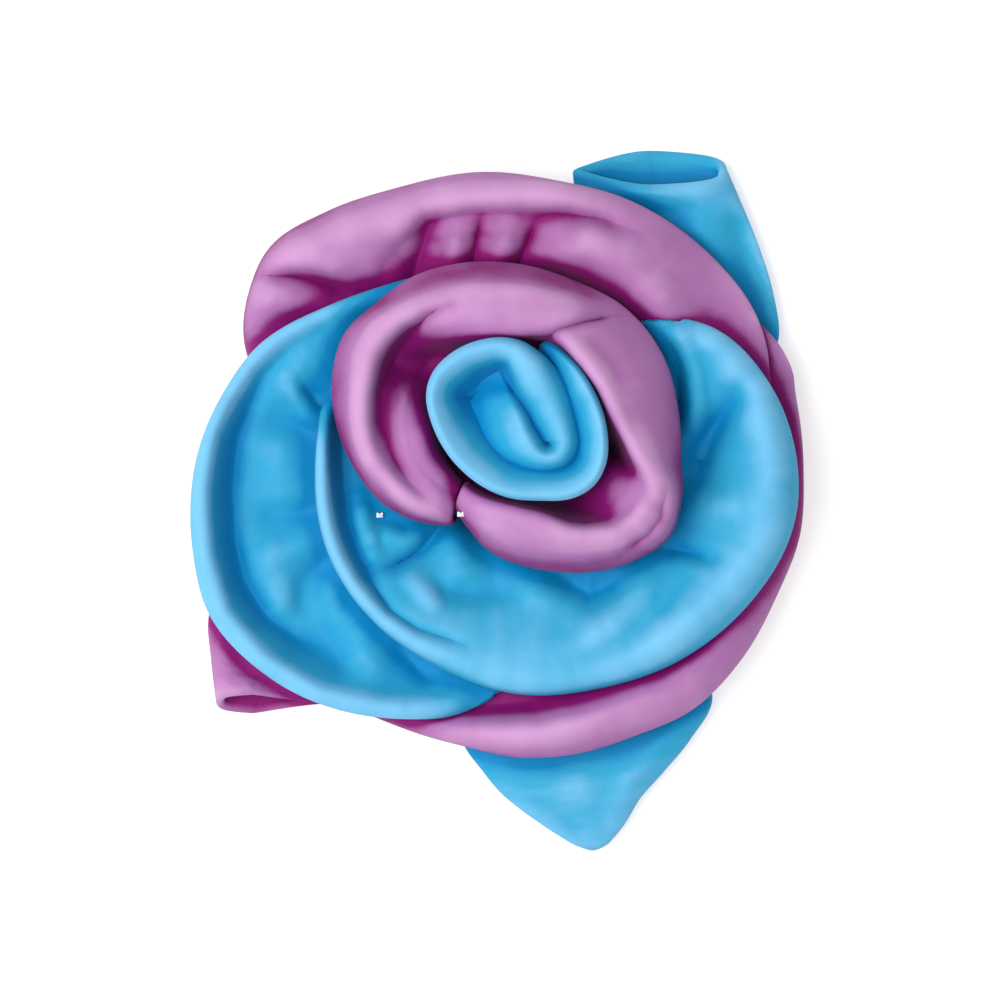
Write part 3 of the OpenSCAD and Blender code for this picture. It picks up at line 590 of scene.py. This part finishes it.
# The cloth's colour uses this openness to paint shade into folds and hollows and a highlight on
# open, raised places.
def openness(points):
    """How openly each point lies: the share of sky that it sees past the cloth round it, and
    0.15 for each millimetre that it stands over that cloth. In 16 directions the steepest rise
    to the map of the flower's heights within 10 mm hides the sky below it. A step up counts
    for 0.9 mm less than it is, and for no more than 4 mm before that. The height is over the
    mean of the map within 4 mm, with steps cut off at 2 mm."""
    seen, standing = 0, 0
    for turn in np.arange(16) * np.pi / 8:
        rise = np.zeros(len(points))
        for far in (0.8, 1.5, 2.5, 4.0, 6.5, 10.0):
            there = points[:, :2] + far * np.array([np.cos(turn), np.sin(turn)])
            step = np.minimum(height_at(flower, there) - points[:, 2], 4)
            rise = np.maximum(rise, (step - 0.9) / far)
            if far <= 4:
                standing = standing - np.clip(step, -2, 2) / 64
        seen = seen + 1 / (1 + rise**2)
    return seen / 16 + 0.15 * standing


def ring_mesh(name, rings, material):
    """Mesh over closed rings: a quad between each two neighbours of two rings, and strips
    across the first and the last ring. Its map runs along the rings and round them, in metres,
    and each point keeps how openly it lies."""
    n, m = rings.shape[:2]
    i, j = np.meshgrid(np.arange(n - 1), np.arange(m), indexing="ij")
    k = (j + 1) % m
    sides = np.stack([i * m + j, (i + 1) * m + j, (i + 1) * m + k, i * m + k], axis=-1)
    c = np.arange(m // 2 - 1)
    first = np.stack([c + 1, m - 2 - c, m - 1 - c, c], axis=-1)
    faces = np.concatenate([sides.reshape(-1, 4), first, first[:, ::-1] + (n - 1) * m])
    points = rings.reshape(-1, 3)
    a, b, d = points[faces[:, 0]], points[faces[:, 1]], points[faces[:, 2]]
    if np.einsum("ij,ij->", a, np.cross(b, d)) < 0:
        faces = faces[:, ::-1]
    mesh = bpy.data.meshes.new(name)
    mesh.from_pydata((points * MM).tolist(), [], faces.tolist())
    u = np.concatenate([[0], np.cumsum(np.linalg.norm(np.diff(rings, axis=0), axis=2).mean(1))])
    step = np.linalg.norm(np.diff(np.concatenate([rings, rings[:, :1]], 1), axis=1), axis=2)
    v = np.concatenate([[0], np.cumsum(step.mean(0))])
    row, column = np.divmod(faces, m)
    wrapped = (column == 0) & (column.max(axis=1, keepdims=True) == m - 1)
    flat = np.stack([u[row], v[np.where(wrapped, m, column)]], axis=-1)
    mesh.uv_layers.new(name="cloth_map").uv.foreach_set("vector", (flat * MM).ravel())
    # The openness kept here paints shade and highlight into the cloth's colour.
    mesh.attributes.new("open", "FLOAT", "POINT").data.foreach_set("value", openness(points))
    mesh.shade_smooth()
    mesh.materials.append(material)
    piece = bpy.data.objects.new(name, mesh)
    bpy.context.scene.collection.objects.link(piece)
    return piece


def thread_rings(column, row, size=0.34, thick=0.1, count=120, around=10):
    """Rings of a curl of sewing thread on the cloth that lies highest at its place: a tube
    round the curve x = sin 2t, y = 0.7 cos 3t, z = 0.4 sin 5t."""
    t = np.linspace(0.3, 2 * np.pi - 0.5, count)
    path = size * np.stack([np.sin(2 * t), 0.7 * np.cos(3 * t), 0.4 * np.sin(5 * t)], axis=1)
    spot = np.array(plan(column, row))
    path += [*spot, height_at(flower, spot) + 0.5 * size]
    way = unit(np.gradient(path, axis=0))
    side = unit(np.cross(way, [0.0, 0.0, 1.0]))
    turn = np.arange(around)[:, None] * 2 * np.pi / around
    return path[:, None] + thick * (side[:, None] * np.cos(turn)
                                    + np.cross(side, way)[:, None] * np.sin(turn))


# Materials

# Openness between which the painted shade colour goes over into the body's, and that into the
# painted highlight colour
OPEN_PAINTED_SHADE = (0.62, 0.92)
OPEN_PAINTED_HIGHLIGHT = (0.9, 1.15)
# Width of a rib of the cloth and of a ply of the thread, in metres
RIB = 0.00045
PLY = 0.00022


def node(tree, kind, **values):
    """New node of a tree with its sockets or its own settings set by name."""
    made = tree.nodes.new(kind)
    for key, value in values.items():
        if key in made.inputs:
            made.inputs[key].default_value = value
        else:
            setattr(made, key, value)
    return made


def math(tree, operation, a, b=None):
    """Output of a new Math node on values or outputs of other nodes."""
    made = node(tree, "ShaderNodeMath", operation=operation)
    for socket, value in zip(made.inputs, (a, b)):
        if isinstance(value, bpy.types.NodeSocket):
            tree.links.new(value, socket)
        elif value is not None:
            socket.default_value = value
    return made.outputs[0]


def new_material(name, **values):
    """New material with its tree and its shader, whose sockets are set by name."""
    material = bpy.data.materials.new(name)
    material.use_nodes = True
    tree = material.node_tree
    shader = tree.nodes["Principled BSDF"]
    for key, value in values.items():
        shader.inputs[key.replace("_", " ")].default_value = value
    return material, tree, shader


def bump(tree, shader, height, strength, distance):
    """Lets a height dent the shader's surface by up to a distance in metres."""
    made = node(tree, "ShaderNodeBump", Strength=strength, Distance=distance)
    tree.links.new(height, made.inputs["Height"])
    tree.links.new(made.outputs[0], shader.inputs["Normal"])


def stretch_cloth_group():
    """Fine jersey: swaying ribs of small loops along the cloth's map, puckers drawn out across
    it, and slow unevenness of tone. A painted highlight makes the cloth paler where it lies open
    and stands over the cloth round it, and painted shade deepens its colour in folds and hollows."""
    group = bpy.data.node_groups.new("stretch_cloth", "ShaderNodeTree")
    face = group.interface
    for name, kind in (("Painted_Highlight", "NodeSocketColor"), ("Body", "NodeSocketColor"),
                       ("Painted_Shade", "NodeSocketColor"), ("Rib", "NodeSocketFloat")):
        face.new_socket(name, in_out="INPUT", socket_type=kind)
    face.new_socket("Color", in_out="OUTPUT", socket_type="NodeSocketColor")
    face.new_socket("Height", in_out="OUTPUT", socket_type="NodeSocketFloat")
    given, out = node(group, "NodeGroupInput"), node(group, "NodeGroupOutput")
    link = group.links.new
    place = node(group, "ShaderNodeUVMap", uv_map="cloth_map")
    split = node(group, "ShaderNodeSeparateXYZ")
    link(place.outputs[0], split.inputs[0])
    along_strip, round_wall = (math(group, "MULTIPLY", split.outputs[axis], given.outputs["Rib"])
                               for axis in (0, 1))
    sway = math(group, "SINE", math(group, "MULTIPLY", along_strip, 1.4))
    wave = math(group, "ADD", round_wall, math(group, "MULTIPLY", sway, 0.9))
    rib = math(group, "ABSOLUTE", math(group, "SINE", wave))
    body = node(group, "ShaderNodeTexCoord")
    slow = node(group, "ShaderNodeTexNoise", Scale=160.0, Detail=3.0, Roughness=0.55)
    fine = node(group, "ShaderNodeTexNoise", Scale=2600.0, Detail=2.0)
    for noise in (slow, fine):
        link(body.outputs["Object"], noise.inputs["Vector"])
    drawn = node(group, "ShaderNodeMapping", Scale=(260.0, 60.0, 1.0))
    pucker = node(group, "ShaderNodeTexNoise", Scale=1.0, Detail=2.0, Roughness=0.45)
    link(place.outputs[0], drawn.inputs["Vector"])
    link(drawn.outputs[0], pucker.inputs["Vector"])
    both = math(group, "ADD", slow.outputs[0], pucker.outputs[0])
    # Each point's openness picks its tone: painted shade where little sky is seen, painted
    # highlight where it lies open and raised
    lies = node(group, "ShaderNodeAttribute", attribute_name="open")
    uneven = math(group, "MULTIPLY", math(group, "SUBTRACT", both, 1.0), 0.15)
    value = math(group, "ADD", lies.outputs["Fac"], uneven)

    def toned(low, high, start, end):
        share = node(group, "ShaderNodeMapRange", interpolation_type="SMOOTHSTEP")
        share.inputs["From Min"].default_value = low
        share.inputs["From Max"].default_value = high
        mix = node(group, "ShaderNodeMix", data_type="RGBA")
        link(value, share.inputs["Value"])
        # A Mix node's sockets for colour: 0 is the factor, 6 and 7 are the two colours
        for number, socket in ((0, share.outputs[0]), (6, start), (7, end)):
            link(socket, mix.inputs[number])
        return mix.outputs[2]

    # Painted shade in folds and hollows, then a painted highlight on open crests
    colour = toned(*OPEN_PAINTED_SHADE, given.outputs["Painted_Shade"], given.outputs["Body"])
    link(toned(*OPEN_PAINTED_HIGHLIGHT, colour, given.outputs["Painted_Highlight"]), out.inputs["Color"])
    height = math(group, "MULTIPLY", rib, 0.6)
    for noise, part in ((fine, 0.5), (slow, 3.0), (pucker, 9.0)):
        height = math(group, "ADD", height, math(group, "MULTIPLY", noise.outputs[0], part))
    link(height, out.inputs["Height"])
    return group


def cloth(name, crest, body, deep, sheen):
    """Stretch cloth in three tones of one colour: its body colour, a deeper one for painted shade
    and a paler one for a painted highlight, with a faint sheen.
    """
    material, tree, shader = new_material(
        name, Roughness=0.55, Sheen_Weight=0.08, Sheen_Roughness=0.4, Sheen_Tint=(*sheen, 1),
        Specular_IOR_Level=0.15)
    group = node(tree, "ShaderNodeGroup", node_tree=stretch_cloth)
    for key, colour in (("Painted_Highlight", crest), ("Body", body), ("Painted_Shade", deep)):
        group.inputs[key].default_value = (*colour, 1)
    group.inputs["Rib"].default_value = 2 * np.pi / RIB
    tree.links.new(group.outputs["Color"], shader.inputs["Base Color"])
    bump(tree, shader, group.outputs["Height"], 1.0, 0.00002)
    return material


def white_thread():
    """Cotton thread: two plies, twisted, as slanted ridges along the thread's map."""
    material, tree, shader = new_material(
        "white_thread", Base_Color=(0.86, 0.87, 0.88, 1), Roughness=0.7)
    place = node(tree, "ShaderNodeUVMap", uv_map="cloth_map")
    split = node(tree, "ShaderNodeSeparateXYZ")
    tree.links.new(place.outputs[0], split.inputs[0])
    slant = math(tree, "ADD", split.outputs[0], math(tree, "MULTIPLY", split.outputs[1], 0.6))
    plies = math(tree, "SINE", math(tree, "MULTIPLY", slant, 2 * np.pi / PLY))
    bump(tree, shader, plies, 0.6, 0.00003)
    return material


def brushed_steel():
    """Nickelled steel wire and plate: fine brush marks along its length, duller in patches."""
    material, tree, shader = new_material("brushed_steel", Metallic=1)
    place = node(tree, "ShaderNodeTexCoord")
    stretch = node(tree, "ShaderNodeMapping", Scale=(60.0, 4000.0, 4000.0))
    marks = node(tree, "ShaderNodeTexNoise", Scale=1.0, Detail=4.0)
    patches = node(tree, "ShaderNodeTexNoise", Scale=180.0, Detail=2.0)
    tree.links.new(place.outputs["Object"], stretch.inputs["Vector"])
    tree.links.new(stretch.outputs[0], marks.inputs["Vector"])
    tree.links.new(place.outputs["Object"], patches.inputs["Vector"])
    colour = node(tree, "ShaderNodeMix", data_type="RGBA")
    colour.inputs[6].default_value = (0.52, 0.52, 0.54, 1)
    colour.inputs[7].default_value = (0.72, 0.72, 0.73, 1)
    tree.links.new(patches.outputs[0], colour.inputs[0])
    tree.links.new(colour.outputs[2], shader.inputs["Base Color"])
    dull = math(tree, "ADD", math(tree, "MULTIPLY", marks.outputs[0], 0.25), 0.2)
    tree.links.new(dull, shader.inputs["Roughness"])
    bump(tree, shader, marks.outputs[0], 0.2, 0.00002)
    return material


# Pieces

stretch_cloth = stretch_cloth_group()
# Each cloth's crest colour is its painted highlight and its deep colour its painted shade; the body
# is its own colour.
blue_cloth = cloth("blue_stretch_cloth", crest=(0.145, 0.43, 0.67), body=(0.02, 0.30, 0.51),
                   deep=(0.0, 0.205, 0.46), sheen=(0.5, 0.85, 1.0))
pink_cloth = cloth("pink_stretch_cloth", crest=(0.49, 0.26, 0.475), body=(0.345, 0.135, 0.34),
                   deep=(0.205, 0.004, 0.13), sheen=(1.0, 0.7, 1.0))
BLUE = ("bud", "petal_blue_right", "petal_blue_left", "leaf_top", "leaf_bottom")

# Each cloth piece: its mesh, held by the root, in place of its imported solid
for name, rings in shells.items():
    blue = name in BLUE
    piece = ring_mesh(f"{name}_cloth", rings, blue_cloth if blue else pink_cloth)
    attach(piece, "root")
    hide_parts(name)

# Specks of sewing thread, by the column and row of the view where they show
thread = white_thread()
for side, column, row in (("left", 380, 515), ("right", 461, 514)):
    knot = ring_mesh(f"thread_knot_{side}", thread_rings(column, row), thread)
    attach(knot, "root")

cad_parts["pin_back"].material_slots[0].material = brushed_steel()


# Table, light and camera, in metres

TABLE_HALF = 1.2
CAMERA = (0.0002, 0.0002, 1.2)
# Height at which the view has its width, and width of the camera's sensor in millimetres
VIEW_HEIGHT = 0.010
SENSOR = 36


def pale_table():
    """Flat white table that the brooch lies on."""
    corners = [(x * TABLE_HALF, y * TABLE_HALF, 0) for x, y in ((-1, -1), (1, -1), (1, 1), (-1, 1))]
    mesh = bpy.data.meshes.new("table")
    mesh.from_pydata(corners, [], [(0, 1, 2, 3)])
    material, _, _ = new_material(
        "white_table", Base_Color=(0.6, 0.6, 0.6, 1), Roughness=0.9,
        Emission_Color=(1, 1, 1, 1), Emission_Strength=0.5)
    mesh.materials.append(material)
    table = bpy.data.objects.new("table", mesh)
    bpy.context.scene.collection.objects.link(table)


def lamp(name, place, size, power):
    """Round soft light that shines on the middle of the table."""
    light = bpy.data.lights.new(name, "AREA")
    light.shape = "DISK"
    light.size = size
    light.energy = power
    made = bpy.data.objects.new(name, light)
    made.location = place
    x, y, z = place
    made.rotation_euler = (np.arctan2(np.hypot(x, y), z), 0, np.arctan2(x, -y))
    bpy.context.scene.collection.objects.link(made)


pale_table()
lamp("key", (-0.6, 0.04, 1.05), 1.0, 14.0)
lamp("fill", (0.0, -0.5, 1.1), 1.2, 4.0)

world = bpy.data.worlds.new("studio")
bpy.context.scene.world = world
world.use_nodes = True
sky = world.node_tree.nodes["Background"]
sky.inputs["Color"].default_value = (1, 1, 1, 1)
sky.inputs["Strength"].default_value = 0.55

camera = bpy.data.cameras.new("camera")
camera.lens = SENSOR * (CAMERA[2] - VIEW_HEIGHT) / (VIEW_WIDTH * MM)
camera.clip_end = 10
view = bpy.data.objects.new("camera", camera)
view.location = CAMERA
bpy.context.scene.collection.objects.link(view)
bpy.context.scene.camera = view
bpy.context.scene.view_settings.view_transform = "Standard"
